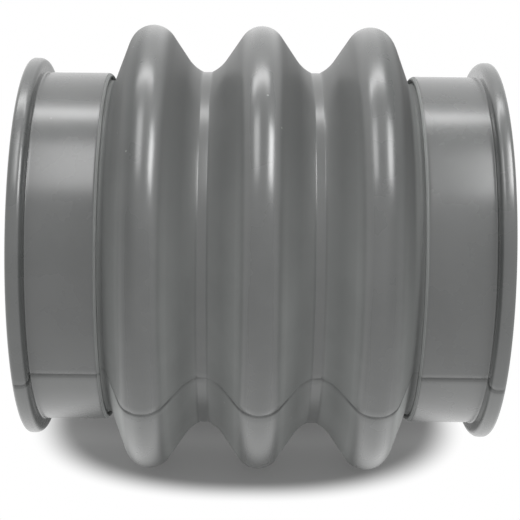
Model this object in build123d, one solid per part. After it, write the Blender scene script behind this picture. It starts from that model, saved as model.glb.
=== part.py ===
from build123d import *
import os
from itertools import pairwise
from math import acos, atan2, cos, degrees, radians, sqrt

# A moulded rubber bellows boot, in mm: a row of convolutions between two clamp cuffs.
# It stands on one end, with the origin at the centre of that end and +Z along the bore.

# Cuffs: each slips over a round neck and is held there by a band clamp
cuff_bore = 72.0  # diameter of the neck that the cuff grips
cuff_wall = 2.9
seat_width = 13.2  # room for a 12 mm clamp band between the shoulder and the bead

# Beads: the rims that keep the clamps from slipping off
bead_height = 3.2
bead_width = 3.5
bead_inner_edge = 1.8
bead_outer_edge = 0.9

# Bellows: crests and roots are arcs, and the straight flanks are tangent to both
convolutions = 3
pitch = 24.0
bellows_wall = 2.5
fold_depth = 10.3  # from root to crest, on the outside
root_rise = 0.6  # how far the roots between convolutions lie outside the clamp seats
crest_radius = 5.1
root_radius = 4.5

# End grooves: the narrow folds between a shoulder and its end convolution
groove_depth = 2.5  # below the clamp seat
groove_radius = 1.0
groove_run = 10.4  # from the crest of the end convolution to the shoulder

# Each arc is a run of narrow flats laid tangent along it, which keeps the mesh of so many
# bends light. These are the corners between the flats, on each side of a bend's tip and over
# the whole of an edge. The outside gets the closer fit.
crest_corners = 2
root_corners = 2
groove_corners = 1
inside_corners = 1
edge_corners = 2

bore_r = cuff_bore / 2
seat_r = bore_r + cuff_wall
bead_r = seat_r + bead_height
root_r = seat_r + root_rise
crest_r = root_r + fold_depth
groove_r = seat_r - groove_depth

# Heights are counted from the middle of the boot, and both ends are alike
last_crest = (convolutions - 1) * pitch / 2
shoulder = last_crest + groove_run
bead_start = shoulder + seat_width
half_length = bead_start + bead_width

# Each bend of the bellows is its arc's centre, its radius on the outside, negative where it
# is hollow, and its corners
groove_centre = Vector(groove_r + groove_radius, shoulder - groove_radius)
bends = [(Vector(groove_centre.X, -groove_centre.Y), -groove_radius, groove_corners)]
for turn in range(2 * convolutions - 1):
    height = turn * pitch / 2 - last_crest
    if turn % 2 == 0:
        bends.append((Vector(crest_r - crest_radius, height), crest_radius, crest_corners))
    else:
        bends.append((Vector(root_r + root_radius, height), -root_radius, root_corners))
bends.append((groove_centre, -groove_radius, groove_corners))


def flank_direction(lower, upper):
    """Where the flank that is tangent to two bends faces, in degrees up from the radial line."""
    (lower_centre, lower_radius, _), (upper_centre, upper_radius, _) = lower, upper
    span = upper_centre - lower_centre
    lean = acos((lower_radius - upper_radius) / span.length)
    return degrees(atan2(span.Y, span.X) - lean)


flanks = [flank_direction(lower, upper) for lower, upper in pairwise(bends)]


def wrap(centre, radius, first, last, corners):
    """Corners of the flats along an arc whose surface turns from one direction to another."""
    step = (last - first) / corners
    reach = Vector(radius / cos(radians(step / 2)), 0)
    return [centre + reach.rotate(Axis.Z, first + step * (n + 0.5)) for n in range(corners)]


def fold(centre, radius, first, last, corners):
    """Both sides of one bend, which meet in a flat at its tip."""
    return wrap(centre, radius, first, 0, corners) + wrap(centre, radius, 0, last, corners)


def mirrored(line):
    """The same line at the other end, run the other way."""
    return [Vector(point.X, -point.Y) for point in reversed(line)]


def outside_line():
    """The whole outside, from the lower end face to the upper one."""
    facing = pairwise([90, *flanks, -90])
    folds = [fold(c, r, *turn, n) for (c, r, n), turn in zip(bends, facing)]
    inner_centre = Vector(bead_r - bead_inner_edge, bead_start + bead_inner_edge)
    outer_centre = Vector(bead_r - bead_outer_edge, half_length - bead_outer_edge)
    cuff = [
        Vector(seat_r, shoulder),
        Vector(seat_r, bead_start),
        *wrap(inner_centre, bead_inner_edge, -90, 0, edge_corners),
        *wrap(outer_centre, bead_outer_edge, 0, 90, edge_corners),
    ]
    return mirrored(cuff) + sum(folds, []) + cuff


def inside_line():
    """The bore and the inside of the folds, from the lower end face to the upper one."""
    # The groove's wall stands proud of the bore as a rounded stop for the end of the neck
    stop_radius = groove_radius + bellows_wall
    stop_inset = groove_centre.X - bore_r
    stop = groove_centre.Y + sqrt(stop_radius**2 - stop_inset**2)
    stop_facing = degrees(acos(stop_inset / stop_radius))
    facing = pairwise([stop_facing, *flanks, -stop_facing])
    folds = [
        fold(centre, radius - bellows_wall, *turn, inside_corners)
        for (centre, radius, _), turn in zip(bends, facing)
    ]
    cuff = [Vector(bore_r, stop), Vector(bore_r, half_length)]
    return mirrored(cuff) + sum(folds, []) + cuff


# The moulding, turned from its wall's section
with BuildPart() as boot:
    with BuildSketch(Plane.XZ):
        with BuildLine():
            Polyline(*outside_line(), *reversed(inside_line()), close=True)
        make_face()
    revolve(axis=Axis.Z)

os.makedirs("parts", exist_ok=True)
export_step(Pos(0, 0, half_length) * boot.part, "parts/bellows_boot.step")
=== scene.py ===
import math

import bpy
from mathutils import Matrix, Vector


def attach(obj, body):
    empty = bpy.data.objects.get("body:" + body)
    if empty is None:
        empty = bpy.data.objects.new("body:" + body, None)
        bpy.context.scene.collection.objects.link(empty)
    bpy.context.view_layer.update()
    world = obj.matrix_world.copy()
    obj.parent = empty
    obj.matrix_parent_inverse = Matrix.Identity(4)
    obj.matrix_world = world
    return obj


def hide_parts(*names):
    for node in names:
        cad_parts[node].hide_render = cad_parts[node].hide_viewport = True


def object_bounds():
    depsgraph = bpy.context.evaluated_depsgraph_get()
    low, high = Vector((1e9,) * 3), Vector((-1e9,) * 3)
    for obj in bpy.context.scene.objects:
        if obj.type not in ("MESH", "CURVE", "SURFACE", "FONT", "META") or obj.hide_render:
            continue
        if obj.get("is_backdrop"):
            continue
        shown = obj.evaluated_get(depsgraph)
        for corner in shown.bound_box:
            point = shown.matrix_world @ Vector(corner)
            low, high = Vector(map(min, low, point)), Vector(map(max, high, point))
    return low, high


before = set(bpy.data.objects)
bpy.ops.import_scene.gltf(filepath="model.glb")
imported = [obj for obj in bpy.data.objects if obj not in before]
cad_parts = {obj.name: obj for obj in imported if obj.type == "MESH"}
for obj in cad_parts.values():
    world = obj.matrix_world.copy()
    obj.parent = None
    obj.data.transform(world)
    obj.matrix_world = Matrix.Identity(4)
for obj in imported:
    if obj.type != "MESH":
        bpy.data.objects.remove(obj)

cadLow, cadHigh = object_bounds()
bpy.ops.object.select_all(action="DESELECT")
print("frame loaded")


def polar(degrees, reach=1.0, height=0.0):
    # a point at that angle round the boot's axis
    turn = math.radians(degrees)
    return Vector((reach * math.cos(turn), reach * math.sin(turn), height))


# the boot's wall section, in metres; bends are arcs, and what lies between them is straight
boot = {
    "boreRadius": 0.0360,
    "seatRadius": 0.0389,
    "beadRadius": 0.0421,
    "length": 0.1022,
    "beadWidth": 0.0034,
    "seatWidth": 0.01355,
    "beadOuterEdge": 0.0009,
    "beadInnerEdge": 0.0017,
    "beadRoot": 0.00035,
    "shoulderRadius": 0.0010,
    "mouthEdge": 0.0003,
    "convolutions": 3,
    "pitch": 0.0240,
    "crestTop": 0.04966,
    "crestRadius": 0.0051,
    "rootBottom": 0.0394,
    "rootFlat": 0.0016,  # the narrow flat along each root
    "rootCorner": 0.0004,  # the radius on both sides of that flat
    "rootTurn": 25,  # degrees, round the corner
    "rootRadius": 0.0080,  # of the hollow above the corner
    "grooveBottom": 0.0372,
    "grooveRadius": 0.0010,
    "grooveRun": 0.0090,  # from the end crest to the groove
    "wall": 0.0025,
    "steps": {  # round each bend
        "beadRoot": 3,
        "beadInnerEdge": 7,
        "beadOuterEdge": 6,
        "shoulder": 5,
        "groove": 8,
        "crest": 16,
        "rootCorner": 3,
        "rootHollow": 8,
        "inside": 9,
        "mouth": 3,
    },
    "seed": 0.002,  # a plane this wide, merged into the point that the wall is drawn from
    "longStraight": 0.002,  # a straight longer than this gets a short edge at both its ends
    "straightEnd": 0.0004,  # the length of that edge
    "columns": 100,  # on each half of the turn
    "flashTurns": (0.16, 0.24, 0.30),  # degrees, from the mould's parting plane outwards
    "turnSlack": 0.02,  # degrees
    "endMargin": 0.0005,  # of each end, where the skin stays flat
    "swells": {  # height, size of the noise, and the noise that leaves a point where it is
        "skin": (0.00010, 0.016, 0.5),
        "flash": (0.00013, 0.0014, 0.2),
        "flashFoot": (-0.00022, 0.003, 0.0),
    },
    "wallWeld": 2e-5,  # points this close are one
    "turnWeld": 1e-5,
}


def flankFacing(lower, upper):
    # the direction that the straight flank between two bends faces, up from the radial line
    across, up = upper[0] - lower[0], upper[1] - lower[1]
    lean = (lower[2] - upper[2]) / math.hypot(across, up)
    facing = math.degrees(math.atan2(up, across) - math.acos(max(-1.0, min(lean, 1.0))))
    return (facing + 180) % 360 - 180


def rootArcs(p, height):
    # a narrow flat between two corners, each of which runs on into a wider hollow
    turn, reach = math.radians(p["rootTurn"]), p["rootRadius"] - p["rootCorner"]
    cornerX, half = p["rootBottom"] + p["rootCorner"], p["rootFlat"] / 2
    hollowX = cornerX + reach * math.cos(turn)
    arcs = []
    for side in (-1, 1):
        cornerZ = height + side * half
        hollowZ = cornerZ - side * reach * math.sin(turn)
        corner = (cornerX, cornerZ, -p["rootCorner"], p["steps"]["rootCorner"])
        hollow = (hollowX, hollowZ, -p["rootRadius"], p["steps"]["rootHollow"])
        arcs += [hollow, corner][::-side]
    return arcs


def wallBends(p):
    # each bend: its centre from the axis and up, its radius, negative where it is hollow,
    # the directions in which it starts and ends facing, and its steps
    steps = p["steps"]
    middle = p["length"] / 2
    lastCrest = (p["convolutions"] - 1) * p["pitch"] / 2
    beadStart = middle - p["beadWidth"]
    seatEnd = beadStart - p["seatWidth"]
    grooveX, grooveZ = p["grooveBottom"] + p["grooveRadius"], lastCrest + p["grooveRun"]
    shoulderX = p["seatRadius"] - p["shoulderRadius"]
    shoulder = (shoulderX, seatEnd, p["shoulderRadius"], steps["shoulder"])
    groove = (grooveX, grooveZ, -p["grooveRadius"], steps["groove"])
    arcs = [(x, -z, r, count) for x, z, r, count in (shoulder, groove)]
    for turn in range(2 * p["convolutions"] - 1):
        height = turn * p["pitch"] / 2 - lastCrest
        if turn % 2 == 0:
            crestX = p["crestTop"] - p["crestRadius"]
            arcs.append((crestX, height, p["crestRadius"], steps["crest"]))
        else:
            arcs += rootArcs(p, height)
    arcs += [groove, shoulder]
    flanks = [flankFacing(arcs[n], arcs[n + 1]) for n in range(len(arcs) - 1)]
    starts, ends = [0] + flanks, flanks + [0]

    root, inner, outer = p["beadRoot"], p["beadInnerEdge"], p["beadOuterEdge"]
    cuff = [
        (p["seatRadius"] + root, beadStart - root, -root, 0, -90, steps["beadRoot"]),
        (p["beadRadius"] - inner, beadStart + inner, inner, -90, 0, steps["beadInnerEdge"]),
        (p["beadRadius"] - outer, middle - outer, outer, 0, 90, steps["beadOuterEdge"]),
    ]
    lowerCuff = [(x, -z, r, -end, -start, count) for x, z, r, start, end, count in reversed(cuff)]
    folds = [(*arc[:3], start, end, arc[3]) for arc, start, end in zip(arcs, starts, ends)]
    outside = lowerCuff + folds + cuff

    # the inside runs back down, parallel to the folds; the end folds stand in the bore as stops
    stopLean = (grooveX - p["boreRadius"]) / (p["grooveRadius"] + p["wall"])
    stopFacing = math.degrees(math.acos(stopLean))
    inside = [
        (x, z, p["wall"] - r, end + 180, start + 180, steps["inside"])
        for x, z, r, start, end, _ in reversed(folds[1:-1])
    ]
    inside[0] = inside[0][:3] + (180 - stopFacing,) + inside[0][4:]
    inside[-1] = inside[-1][:4] + (180 + stopFacing,) + inside[-1][5:]
    edge = p["mouthEdge"]
    mouth = (p["boreRadius"] + edge, middle - edge, edge, 90, 180, steps["mouth"])
    lowerMouth = (mouth[0], -mouth[1], edge, 180, 270, steps["mouth"])
    return outside, [mouth] + inside + [lowerMouth]


def edgeOfBend(bend, facing):
    turn = math.radians(facing)
    return Vector((bend[0] + bend[2] * math.cos(turn), 0, bend[1] + bend[2] * math.sin(turn)))


def drawWall(bends, pen, lift):
    # extrudes the selected vertex straight to each bend, then spins it round the bend's centre
    for bend in bends:
        start = edgeOfBend(bend, bend[3]) + lift
        reach, shares = (start - pen).length, (1.0,)
        if reach > boot["longStraight"]:
            end = boot["straightEnd"] / reach
            shares = (end, 1 - 2 * end, end)
        for share in shares:
            step = share * (start - pen)
            bpy.ops.mesh.extrude_region_move(TRANSFORM_OT_translate={"value": step})
        bpy.ops.mesh.spin(
            steps=bend[5],
            angle=math.radians(bend[4] - bend[3]),
            center=(bend[0], 0, bend[1] + lift.z),
            axis=(0, 1, 0),
        )
        pen = edgeOfBend(bend, bend[4]) + lift
    return pen


def selectWhere(test):
    bpy.ops.object.mode_set(mode="OBJECT")
    mesh = bpy.context.object.data
    for group in (mesh.polygons, mesh.edges):
        group.foreach_set("select", [False] * len(group))
    mesh.vertices.foreach_set("select", [bool(test(v.co)) for v in mesh.vertices])
    bpy.ops.object.mode_set(mode="EDIT")


def keepAsGroup(name, vertices):
    group = bootPiece.vertex_groups.new(name=name)
    group.add([v.index for v in vertices], 1.0, "REPLACE")


outside, inside = wallBends(boot)
lift = Vector((0, 0, boot["length"] / 2))
first = Vector((boot["boreRadius"] + boot["mouthEdge"], 0, 0))
bpy.ops.mesh.primitive_plane_add(size=boot["seed"], location=first)
bootPiece = bpy.context.object
bootPiece.name = "moulded_boot"
bpy.ops.object.transform_apply(location=True, rotation=True, scale=True)
bpy.ops.object.mode_set(mode="EDIT")
bpy.ops.mesh.merge(type="CENTER")
pen = drawWall(outside, first, lift)
bpy.ops.object.mode_set(mode="OBJECT")
keepAsGroup("outside", bootPiece.data.vertices)
selectWhere(lambda co: (co - pen).length < boot["wallWeld"])
pen = drawWall(inside, pen, lift)
bpy.ops.mesh.select_all(action="SELECT")
bpy.ops.mesh.remove_doubles(threshold=boot["wallWeld"])

# turned about the axis, with fine columns on both sides of the parting plane
fine = [(turn, 1) for turn in boot["flashTurns"]]
coarse = [(180 - 2 * sum(boot["flashTurns"]), boot["columns"])]
for turn, steps in 2 * (fine + coarse + fine[::-1]):
    bpy.ops.mesh.spin(steps=steps, angle=math.radians(turn), center=(0, 0, 0), axis=(0, 0, 1))
bpy.ops.mesh.select_all(action="SELECT")
bpy.ops.mesh.remove_doubles(threshold=boot["turnWeld"])
bpy.ops.mesh.normals_make_consistent(inside=False)
bpy.ops.object.mode_set(mode="OBJECT")
print("boot turned,", len(bootPiece.data.vertices), "points")

# the skin that may swell or sink: the outside without its end faces
skinGroup = bootPiece.vertex_groups["outside"].index


def onOutside(vertex):
    return any(g.group == skinGroup for g in vertex.groups)


def onSkin(vertex, low, high):
    # on the skin, and between these many degrees from the parting plane
    margin = boot["endMargin"]
    turn = abs(math.degrees(math.atan2(vertex.co.y, abs(vertex.co.x))))
    within = margin < vertex.co.z < boot["length"] - margin
    return onOutside(vertex) and within and low <= turn <= high


flashStart, flashEnd, slack = boot["flashTurns"][0], sum(boot["flashTurns"][:2]), boot["turnSlack"]
for name, low, high in (
    ("skin", flashStart + slack, 180),
    ("flash", 0, slack),
    ("flashFoot", flashStart - slack, flashEnd + slack),
):
    keepAsGroup(name, [v for v in bootPiece.data.vertices if onSkin(v, low, high)])


def swell(groupName, height, grain, middle):
    # moves a group of points along their normals by a soft noise
    noise = bpy.data.textures.new(groupName, "CLOUDS")
    noise.noise_scale = grain
    displace = bootPiece.modifiers.new(groupName, "DISPLACE")
    displace.texture = noise
    displace.texture_coords = "LOCAL"
    displace.vertex_group = groupName
    displace.strength = height
    displace.mid_level = middle
    bpy.ops.object.modifier_apply(modifier=displace.name)


bpy.ops.object.shade_smooth()
for name, values in boot["swells"].items():
    swell(name, *values)
print("flash and ripple raised")

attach(bootPiece, "root")
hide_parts("bellows_boot")


def addNode(tree, kind, values=None, **settings):
    # values are set by socket name or number; a socket given as a value is linked instead
    node = tree.nodes.new("ShaderNode" + kind)
    for key, value in settings.items():
        setattr(node, key, value)
    for key, value in (values or {}).items():
        if isinstance(value, bpy.types.NodeSocket):
            tree.links.new(value, node.inputs[key])
        else:
            node.inputs[key].default_value = value
    return node


def addMath(tree, operation, first, second=0.0):
    return addNode(tree, "Math", {0: first, 1: second}, operation=operation).outputs[0]


def addVectorMath(tree, operation, first, second=(0, 0, 0)):
    values = {0: first, 1: second}
    return addNode(tree, "VectorMath", values, operation=operation).outputs


def addRamp(tree, value, low, high, interpolation="SMOOTHSTEP"):
    # 0 below the lower value and 1 above the higher one, or the other way round
    values = {"Value": value, "From Min": low, "From Max": high}
    return addNode(tree, "MapRange", values, interpolation_type=interpolation).outputs["Result"]


def addPlace(tree):
    return addNode(tree, "TexCoord").outputs["Object"]


def addParts(tree, vector):
    return addNode(tree, "SeparateXYZ", {0: vector}).outputs


def mixColour(tree, amount, first, second):
    return addNode(tree, "Mix", {0: amount, 6: first, 7: second}, data_type="RGBA").outputs[2]


def mixValue(tree, amount, first, second):
    return addNode(tree, "Mix", {0: amount, 2: first, 3: second}, data_type="FLOAT").outputs[0]


def newGroup(name, takes, gives):
    # a node group: what it takes, with the values it starts from, and the numbers it gives
    tree = bpy.data.node_groups.new(name, "ShaderNodeTree")
    for socket, value in takes.items():
        kind = "NodeSocketVector" if isinstance(value, tuple) else "NodeSocketFloat"
        made = tree.interface.new_socket(socket, in_out="INPUT", socket_type=kind)
        made.default_value = value
    for socket in gives:
        tree.interface.new_socket(socket, in_out="OUTPUT", socket_type="NodeSocketFloat")
    given, taken = tree.nodes.new("NodeGroupInput"), tree.nodes.new("NodeGroupOutput")
    return tree, given.outputs, taken.inputs


def newMottleGroup():
    # the soft light and dark clouds of moulded rubber, and its fine even grain
    takes = {"Cloud Size": 0.02, "Grain Size": 0.0006}
    tree, given, taken = newGroup("rubberMottle", takes, ["Clouds", "Grain"])
    place = addPlace(tree)
    for name, size, detail, roughness in (
        ("Clouds", "Cloud Size", 4.0, 0.6),
        ("Grain", "Grain Size", 3.0, 0.55),
    ):
        scale = addMath(tree, "DIVIDE", 1.0, given[size])
        values = {"Vector": place, "Scale": scale, "Detail": detail, "Roughness": roughness}
        tree.links.new(addNode(tree, "TexNoise", values).outputs[0], taken[name])
    return tree


def newFoldGroup():
    # how deep a place lies between the crests, whether it lies in the bellows at all, how far
    # up an end groove's outer wall it is, and whether it is beyond the end crests
    endFade, outerFade = 0.0004, 0.0024
    takes = {
        "Top": 0.05,
        "Bottom": 0.04,
        "Middle": 0.05,
        "Half": 0.034,
        "Groove": 0.031,
        "Outer": 0.026,
    }
    tree, given, taken = newGroup("foldDepth", takes, ["Depth", "Within", "Groove", "Outer"])
    parts = addParts(tree, addPlace(tree))
    squares = [addMath(tree, "MULTIPLY", parts[axis], parts[axis]) for axis in (0, 1)]
    radius = addMath(tree, "SQRT", addMath(tree, "ADD", *squares))
    height = addMath(tree, "ABSOLUTE", addMath(tree, "SUBTRACT", parts[2], given["Middle"]))
    insideHalf = addMath(tree, "SUBTRACT", given["Half"], endFade)
    pastOuter = addMath(tree, "ADD", given["Outer"], outerFade)
    within = addRamp(tree, height, given["Half"], insideHalf)
    for name, value in (
        ("Depth", addRamp(tree, radius, given["Top"], given["Bottom"], "LINEAR")),
        ("Groove", addRamp(tree, height, given["Groove"], insideHalf, "LINEAR")),
        ("Outer", addRamp(tree, height, given["Outer"], pastOuter)),
    ):
        tree.links.new(addMath(tree, "MULTIPLY", value, within), taken[name])
    tree.links.new(within, taken["Within"])
    return tree


def newSideGroup():
    # how far across the boot a place lies, towards one side of it
    takes = {"Direction": (1, 0, 0), "Start": -0.03, "End": 0.03}
    tree, given, taken = newGroup("awaySide", takes, ["Side"])
    across = addVectorMath(tree, "DOT_PRODUCT", addPlace(tree), given["Direction"])["Value"]
    tree.links.new(addRamp(tree, across, given["Start"], given["End"]), taken["Side"])
    return tree


def newPartingGroup():
    # the line that the mould's halves leave, which wavers a little, and the half beyond it
    noiseScale, noiseDetail, noiseMiddle = 260.0, 3.0, 0.5
    leastWidth, core = 0.3, 0.4  # as shares of the line's width
    halfEdge = 0.0003
    takes = {"Width": 0.0004, "Waver": 0.0002}
    tree, given, taken = newGroup("partingLine", takes, ["Line", "Half"])
    place = addPlace(tree)
    values = {"Vector": place, "Scale": noiseScale, "Detail": noiseDetail}
    noise = addNode(tree, "TexNoise", values).outputs[0]
    shift = addMath(tree, "SUBTRACT", noise, noiseMiddle)
    shift = addMath(tree, "MULTIPLY", shift, given["Waver"])
    side = addMath(tree, "ADD", addParts(tree, place)[1], shift)
    width = addMath(tree, "MULTIPLY", given["Width"], addMath(tree, "ADD", noise, leastWidth))
    coreWidth = addMath(tree, "MULTIPLY", width, core)
    line = addRamp(tree, addMath(tree, "ABSOLUTE", side), width, coreWidth)
    tree.links.new(line, taken["Line"])
    tree.links.new(addRamp(tree, side, -halfEdge, halfEdge), taken["Half"])
    return tree


def newSpeckGroup():
    # a few grains of dust
    core, rarity = 0.5, 0.72
    takes = {"Spacing": 0.006, "Size": 0.0003}
    tree, given, taken = newGroup("dustSpecks", takes, ["Specks"])
    scale = addMath(tree, "DIVIDE", 1.0, given["Spacing"])
    cells = addNode(tree, "TexVoronoi", {"Vector": addPlace(tree), "Scale": scale}).outputs
    reach = addMath(tree, "MULTIPLY", cells["Distance"], given["Spacing"])
    coreSize = addMath(tree, "MULTIPLY", given["Size"], core)
    dot = addRamp(tree, reach, given["Size"], coreSize)
    tone = addNode(tree, "SeparateColor", {0: cells["Color"]}).outputs[0]
    few = addMath(tree, "GREATER_THAN", tone, rarity)
    tree.links.new(addMath(tree, "MULTIPLY", dot, few), taken["Specks"])
    return tree


mottleGroup = newMottleGroup()
foldGroup = newFoldGroup()
sideGroup = newSideGroup()
partingGroup = newPartingGroup()
speckGroup = newSpeckGroup()

rubber = {
    "dark": (0.056, 0.059, 0.058, 1),
    "light": (0.067, 0.070, 0.069, 1),
    "mottle": {"Cloud Size": 0.018, "Grain Size": 0.0007},
    "clouds": (0.35, 0.65),  # the noise that is dark, and light
    "cloudBloom": (0.88, 1.0),  # times as much bloom in the dark clouds, and in the light
    "shadedFacing": -46,  # degrees round the axis, the side towards the top lamp, which is painted darker as shade
    "awayFromLamp": {"Start": -0.040, "End": 0.040},  # from that side, across to the far side, which is painted paler as light
    "under": {"Start": 0.0, "End": 0.045},  # and for the lower side alone
    # the bloom's colour on the lamp side, darker as painted shade, and on the far side, paler as
    # painted light
    "shadedBloom": (0.070, 0.072, 0.071, 1),
    "bloomAndPaintedLight": (0.200, 0.207, 0.203, 1),
    "folds": {
        "Top": 0.0494,
        "Bottom": 0.0394,
        "Middle": boot["length"] / 2,
        "Half": 0.0340,
        "Groove": 0.0306,
        "Outer": 0.0238,
    },
    "foldBloomAndFill": (  # bloom by depth, from the crests down: partly real bloom, partly painted fill light where the folds are shaded, palest at the crest bands' edges as a painted highlight
        (0.02, 0),
        (0.22, 0.86),
        (0.32, 0.97),
        (0.38, 0.88),
        (0.97, 0.80),
        (1, 0.24),
    ),
    "groovePaintedFill": (  # painted fill light in the end groove's shade, by height, from the end groove to the shoulder, palest on the shoulder's wall
        (0, 0.17, 0),
        (0.3, 0.15),
        (0.62, 0.17),
        (0.80, 0.26),
        (0.92, 0.42),
        (1, 0.24),
    ),
    "bloomTint": (1, 1.03, 1.015),
    "upturned": (-0.9, 0.9),  # the normal's height where a face looks down, and up
    "paleByFacing": (  # times as pale on faces that look down, and up: painted light on the upward faces
        (1.0, 1.50),  # on the lamp side
        (1.0, 1.10),  # on the far side
    ),
    "outerShaded": (0.65, 1.0),  # and so on the end flanks on the lamp side: painted shade darkens those that look down
    "outerHalfLight": 1.5,  # times as pale on the end flanks beyond the parting line: painted light
    "paleHalf": 0.42,  # paler on the crests and cuffs beyond the parting line
    "paintedBounce": 0.30,  # and paler on those of the lower side, towards the card: painted bounce light
    "lineWidth": (0.0013, 0.0008),  # on the cuffs, and on the bellows
    "lineWaver": 0.0007,
    "lineShare": (0.55, 0.06),  # how strongly it shows, on the crests and in the folds
    "lineDepth": (0.3, 0.6),  # the depths of those
    "lineDark": (0.030, 0.032, 0.031, 1),
    "dust": (0.30, 0.31, 0.30, 1),
    "specks": {"Spacing": 0.006, "Size": 0.00030},
    "speckShare": 0.5,
    "roughness": (0.23, 0.31),
    "foldRoughness": 0.60,
    "specular": 0.30,
    "downward": (-0.50, -0.85),  # the normal's height where this starts, and is full
    "polish": (0.80, 0.16),  # on what faces up and sideways, and on what faces down
    "outerPolish": (0.12, 0.0),  # and so on the outer sides of the end crests on the lamp side
    "bloomPolish": 0.35,  # times as much in the bloom
    "polishRoughness": 0.27,
    "polishIor": 1.8,
    "grain": (0.05, 0.0001),  # strength and height
}
bore = {
    "dark": (0.060, 0.062, 0.061, 1),
    "talc": (0.17, 0.172, 0.168, 1),
    "mottle": {"Cloud Size": 0.012, "Grain Size": 0.0009},
    "clouds": (0.35, 0.75),
    "talcShare": 0.5,
    "specks": {"Spacing": 0.004, "Size": 0.00035},
    "speckShare": 0.6,
    "roughness": (0.50, 0.66),
    "grain": (0.12, 0.0001),
}


def newMaterial(name):
    material = bpy.data.materials.new(name)
    material.use_nodes = True
    tree = material.node_tree
    return material, tree, tree.nodes["Principled BSDF"]


def addGrainBump(tree, shader, grain, strength, height):
    values = {"Strength": strength, "Distance": height, "Height": grain}
    tree.links.new(addNode(tree, "Bump", values).outputs[0], shader.inputs["Normal"])


def addStops(tree, value, stops):
    # a grey ramp: places, their greys and how opaque they are
    ramp = addNode(tree, "ValToRGB", {0: value})
    elements = ramp.color_ramp.elements
    for place, *_ in stops[1:-1]:
        elements.new(place)
    for stop, (place, grey, *opaque) in zip(elements, stops):
        stop.position = place
        stop.color = (*(grey * tint for tint in rubber["bloomTint"]), *(opaque or (1,)))
    return ramp.outputs


def useGroup(tree, group, values):
    return addNode(tree, "Group", values, node_tree=group).outputs


satinRubber, tree, shader = newMaterial("satinRubber")
mottle = useGroup(tree, mottleGroup, rubber["mottle"])
specks = useGroup(tree, speckGroup, rubber["specks"])
folds = useGroup(tree, foldGroup, rubber["folds"])
lineWidth = mixValue(tree, folds["Within"], *rubber["lineWidth"])
parting = useGroup(tree, partingGroup, {"Width": lineWidth, "Waver": rubber["lineWaver"]})
# the lamp side is painted darker and the far side paler, and the lower side, towards the card,
# paler still
awaySide = {"Direction": polar(rubber["shadedFacing"]) * -1}
awayFromLamp = useGroup(tree, sideGroup, awaySide | rubber["awayFromLamp"])["Side"]
under = useGroup(tree, sideGroup, awaySide | rubber["under"])["Side"]
clouds = addRamp(tree, mottle["Clouds"], *rubber["clouds"])
upward = addParts(tree, addNode(tree, "TexCoord").outputs["Normal"])[2]
upturned = addRamp(tree, upward, *rubber["upturned"])
downward = addRamp(tree, upward, *rubber["downward"])

# how much of the skin the bloom and the painted light cover
share = addStops(tree, folds["Depth"], rubber["foldBloomAndFill"])
groove = addStops(tree, folds["Groove"], rubber["groovePaintedFill"])
# the share of bloom and painted fill light, with the end groove filled all over
dullAndFill = mixValue(tree, groove["Alpha"], share["Color"], 1.0)
# paler beyond the parting line
paleHalf = mixValue(tree, parting["Half"], 0.0, rubber["paleHalf"])
# painted bounce light on the lower side, towards the card
paintedBounce = mixValue(tree, under, 0.0, rubber["paintedBounce"])
bloomAndPaintedLight = addMath(tree, "MAXIMUM", dullAndFill, addMath(tree, "MAXIMUM", paleHalf, paintedBounce))
bloomAndPaintedLight = addMath(tree, "MULTIPLY", bloomAndPaintedLight, mixValue(tree, clouds, *rubber["cloudBloom"]))

# and how pale it is there: darker on the lamp side as painted shade, paler on the far side and on
# upward faces as painted light
# painted light: faces that look up are paler, most on the lamp side
paleByFacing = [mixValue(tree, upturned, *shares) for shares in rubber["paleByFacing"]]
paleByFacing = mixValue(tree, awayFromLamp, *paleByFacing)
outer = mixValue(tree, awayFromLamp, folds["Outer"], 0.0)
# painted shade on the end flanks of the lamp side that look down
outerShaded = mixValue(tree, outer, 1.0, mixValue(tree, upturned, *rubber["outerShaded"]))
paleByFacing = addMath(tree, "MULTIPLY", paleByFacing, outerShaded)
# painted light on the end flanks beyond the parting line
outerHalfLight = addMath(tree, "MULTIPLY", parting["Half"], folds["Outer"])
outerHalfLight = mixValue(tree, outerHalfLight, 1.0, rubber["outerHalfLight"])
paleByFacing = addMath(tree, "MULTIPLY", paleByFacing, outerHalfLight)
bloomAndLightColour = mixColour(tree, awayFromLamp, rubber["shadedBloom"], rubber["bloomAndPaintedLight"])
bloomAndLightColour = addNode(tree, "VectorMath", {0: bloomAndLightColour, "Scale": paleByFacing}, operation="SCALE").outputs[0]
# painted fill light: the end groove's shade is painted over in pale grey
bloomAndLightColour = mixColour(tree, groove["Alpha"], bloomAndLightColour, groove["Color"])

skin = mixColour(tree, clouds, rubber["dark"], rubber["light"])
skin = mixColour(tree, bloomAndPaintedLight, skin, bloomAndLightColour)
lineShare = addRamp(tree, folds["Depth"], *rubber["lineDepth"])
lineShare = mixValue(tree, lineShare, *rubber["lineShare"])
inked = addMath(tree, "MULTIPLY", parting["Line"], lineShare)
skin = mixColour(tree, inked, skin, rubber["lineDark"])
dust = addMath(tree, "MULTIPLY", specks["Specks"], rubber["speckShare"])
skin = mixColour(tree, dust, skin, rubber["dust"])
tree.links.new(skin, shader.inputs["Base Color"])

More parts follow.
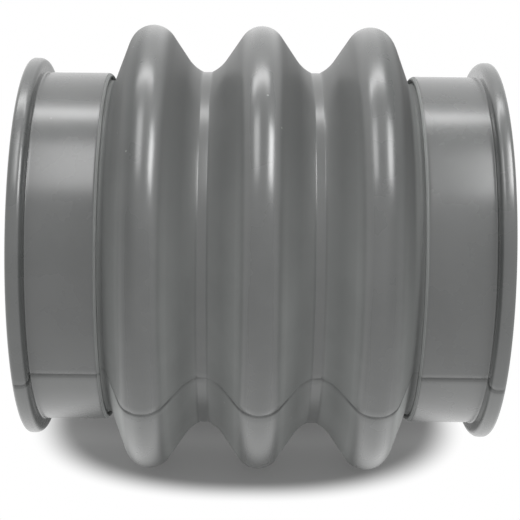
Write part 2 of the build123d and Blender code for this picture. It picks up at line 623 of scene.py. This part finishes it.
roughness = mixValue(tree, clouds, *rubber["roughness"])
roughness = mixValue(tree, dullAndFill, roughness, rubber["foldRoughness"])
tree.links.new(roughness, shader.inputs["Roughness"])
polish = mixValue(tree, downward, *rubber["polish"])
polish = mixValue(tree, outer, polish, mixValue(tree, downward, *rubber["outerPolish"]))
polish = addMath(tree, "MULTIPLY", polish, mixValue(tree, dullAndFill, 1.0, rubber["bloomPolish"]))
tree.links.new(polish, shader.inputs["Coat Weight"])
shader.inputs["Coat Roughness"].default_value = rubber["polishRoughness"]
shader.inputs["Coat IOR"].default_value = rubber["polishIor"]
shader.inputs["Specular IOR Level"].default_value = rubber["specular"]
addGrainBump(tree, shader, mottle["Grain"], *rubber["grain"])

talcedBore, tree, shader = newMaterial("talcedBore")
mottle = useGroup(tree, mottleGroup, bore["mottle"])
specks = useGroup(tree, speckGroup, bore["specks"])
talc = addRamp(tree, mottle["Clouds"], *bore["clouds"])
share = addMath(tree, "MULTIPLY", talc, bore["talcShare"])
dust = addMath(tree, "MULTIPLY", specks["Specks"], bore["speckShare"])
skin = mixColour(tree, share, bore["dark"], bore["talc"])
skin = mixColour(tree, dust, skin, bore["talc"])
tree.links.new(skin, shader.inputs["Base Color"])
tree.links.new(mixValue(tree, talc, *bore["roughness"]), shader.inputs["Roughness"])
addGrainBump(tree, shader, mottle["Grain"], *bore["grain"])

# the bore and the inside of the folds are talced; their rounded mouths go with the outside
bootPiece.data.materials.append(satinRubber)
bootPiece.data.materials.append(talcedBore)
satin = [onOutside(v) for v in bootPiece.data.vertices]
for face in bootPiece.data.polygons:
    face.material_index = 0 if any(satin[v] for v in face.vertices) else 1
bootPiece.vertex_groups.clear()
print("rubber finished")


# the stage: the boot stands on one end, and a card touches the side of its folds
studio = {
    "cameraFacing": -136,  # degrees round the axis, towards the camera
    "cameraDistance": 0.336,
    "lens": 102.5,
    "clip": (0.01, 20),
    "swing": 0.45,  # degrees, round the boot
    "pan": 0.02,  # and these round the camera
    "tilt": 0.48,
    "roll": 0.65,
    "cardFacing": -56,
    "cardSize": 0.5,
    "floorSize": 4,
    "paperRoughness": 0.9,
    "world": 1.0,
    "topLight": {
        "facing": -46,
        "reach": 0.35,
        "height": 0.030,
        "size": (0.05, 0.30),
        "radiance": 6.5,
    },
    "sideLights": [
        {
            "facing": -90,
            "reach": 0.150,
            "height": 0.0436,
            "size": (0.077, 0.042),
            "radiance": 3.4,
        },
        {
            "facing": -90,
            "reach": 0.190,
            "height": -0.108,
            "size": (0.103, 0.061),
            "radiance": 8.8,
        },
    ],
    "card": {
        # a painted shadow: the card is this mid grey inside the shadow's ellipse, and the boot's
        # cast shadow falls on it too
        "colour": (0.25, 0.25, 0.25, 1),
        "shadow": {"centre": (0.0022, -0.0400, 0), "radii": (0.0501, 0.0645, 1), "power": 2.3},
        "fade": (0.88, 1.10),  # as shares of the way to the shadow's rim
        "farFade": (-0.0365, -0.0440),
        "lift": (0.005, 0.10),  # light added to the paper, far and near
        "farLift": (-0.034, -0.010),
    },
    "floor": {
        "colour": (0.85, 0.85, 0.85, 1),
        "shadow": {"centre": (0, 0.022, 0), "radii": (0.0425, 0.0645, 1), "power": 2.2},
        "fade": (0.74, 1.0),
        "farFade": (-0.042, -0.043),
        "lift": (0.05, 0.1),
        "farLift": (-0.04, 0.05),
    },
}
white = (1, 1, 1, 1)
middle = (cadLow + cadHigh) / 2


def addAreaLight(name, facing, reach, height, size, radiance):
    place = middle + polar(facing, reach, height)
    bpy.ops.object.light_add(type="AREA", location=place)
    light = bpy.context.object
    light.name = name
    light.rotation_euler = (middle - place).to_track_quat("-Z", "Y").to_euler()
    light.data.shape = "RECTANGLE"
    light.data.size, light.data.size_y = size
    light.data.energy = radiance * math.pi * size[0] * size[1]
    light.visible_camera = False


addAreaLight("topLight", **studio["topLight"])
for side in studio["sideLights"]:
    addAreaLight("sideLight", **side)


def addSeenRays(tree):
    # 1 for what the camera sees, and for what shows in gloss and glass
    rays = addNode(tree, "LightPath").outputs
    seen = addMath(tree, "MAXIMUM", rays["Is Camera Ray"], rays["Is Glossy Ray"])
    return addMath(tree, "MAXIMUM", seen, rays["Is Transmission Ray"])


def mixShader(tree, amount, first, second):
    values = {0: amount, 1: first.outputs[0], 2: second.outputs[0]}
    return addNode(tree, "MixShader", values)


world = bpy.data.worlds.new("studio")
bpy.context.scene.world = world
world.use_nodes = True
tree = world.node_tree
soft = tree.nodes["Background"]
soft.inputs["Color"].default_value = white
soft.inputs["Strength"].default_value = studio["world"]
plain = addNode(tree, "Background", {"Color": white, "Strength": 1.0})
mixed = mixShader(tree, addSeenRays(tree), soft, plain)
tree.links.new(mixed.outputs[0], tree.nodes["World Output"].inputs["Surface"])


def addShadowReach(tree, place, centre, radii, power):
    # 1 all round the rim of the shadow, which is an ellipse or a little squarer
    away = addVectorMath(tree, "SUBTRACT", place, centre)[0]
    away = addVectorMath(tree, "DIVIDE", away, radii)[0]
    parts = addParts(tree, addVectorMath(tree, "ABSOLUTE", away)[0])
    powers = [addMath(tree, "POWER", parts[axis], power) for axis in (0, 1)]
    return addMath(tree, "POWER", addMath(tree, "ADD", *powers), 1 / power)


def paperMaterial(name, colour, shadow, fade, farFade, lift, farLift):
    # paper that has its colour inside the shadow's ellipse, on the card a painted shadow and on
    # the floor a pale colour under the cast shadow, and fades to plain white outside it and on its
    # far side, and is clear from behind; a far place is along the paper's Y
    material, tree, shader = newMaterial(name)
    shader.inputs["Base Color"].default_value = colour
    shader.inputs["Roughness"].default_value = studio["paperRoughness"]
    place = addPlace(tree)
    forward = addParts(tree, place)[1]
    seen = addSeenRays(tree)
    strength = mixValue(tree, addRamp(tree, forward, *farLift), *lift)
    strength = addMath(tree, "MULTIPLY", seen, strength)
    lifted = addNode(tree, "Emission", {"Color": white, "Strength": strength})
    near = addNode(tree, "AddShader", {0: shader.outputs[0], 1: lifted.outputs[0]})
    plain = addNode(tree, "Emission", {"Color": white, "Strength": 1.0})
    away = addRamp(tree, addShadowReach(tree, place, **shadow), *fade)
    away = addMath(tree, "MAXIMUM", away, addRamp(tree, forward, *farFade))
    paper = mixShader(tree, addMath(tree, "MULTIPLY", away, seen), near, plain)
    behind = addNode(tree, "NewGeometry").outputs["Backfacing"]
    mixed = mixShader(tree, behind, paper, addNode(tree, "BsdfTransparent"))
    tree.links.new(mixed.outputs[0], tree.nodes["Material Output"].inputs["Surface"])
    return material


# the card, which carries a painted shadow
bpy.ops.mesh.primitive_plane_add(size=studio["cardSize"])
card = bpy.context.object
card.name = "shadowCard"
cardNormal = polar(studio["cardFacing"])
upright = Vector((0, 0, 1))
cardTurn = Matrix((upright, cardNormal.cross(upright), cardNormal)).transposed().to_4x4()
card.matrix_world = Matrix.Translation(middle - cardNormal * cadHigh.y) @ cardTurn
card.data.materials.append(paperMaterial("cardPaintedShadow", **studio["card"]))

# the floor, whose shadow lies behind the boot
floorTurn = math.radians(studio["cameraFacing"] + 90)
bpy.ops.mesh.primitive_plane_add(size=studio["floorSize"], rotation=(0, 0, floorTurn))
floor = bpy.context.object
floor.name = "floor"
floor.data.materials.append(paperMaterial("floorPaper", **studio["floor"]))

for stage in (card, floor):  # they cast no shadow and throw no light back on the boot
    stage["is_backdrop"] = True
    stage.visible_diffuse = stage.visible_transmission = stage.visible_shadow = False
floor.visible_glossy = False

# the camera
back = polar(studio["cameraFacing"])
up = polar(studio["cameraFacing"] + 90)
turn = Matrix((up.cross(back), up, back)).transposed().to_4x4()
bpy.ops.object.camera_add()
camera = bpy.context.object
camera.data.lens = studio["lens"]
camera.matrix_world = (
    Matrix.Translation(middle)
    @ turn
    @ Matrix.Rotation(math.radians(-studio["swing"]), 4, "Y")
    @ Matrix.Translation((0, 0, studio["cameraDistance"]))
    @ Matrix.Rotation(math.radians(-studio["pan"]), 4, "Y")
    @ Matrix.Rotation(math.radians(-studio["tilt"]), 4, "X")
    @ Matrix.Rotation(math.radians(studio["roll"]), 4, "Z")
)
camera.data.clip_start, camera.data.clip_end = studio["clip"]
bpy.context.scene.camera = camera
bpy.context.scene.view_settings.view_transform = "Standard"
print("studio set")

low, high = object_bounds()
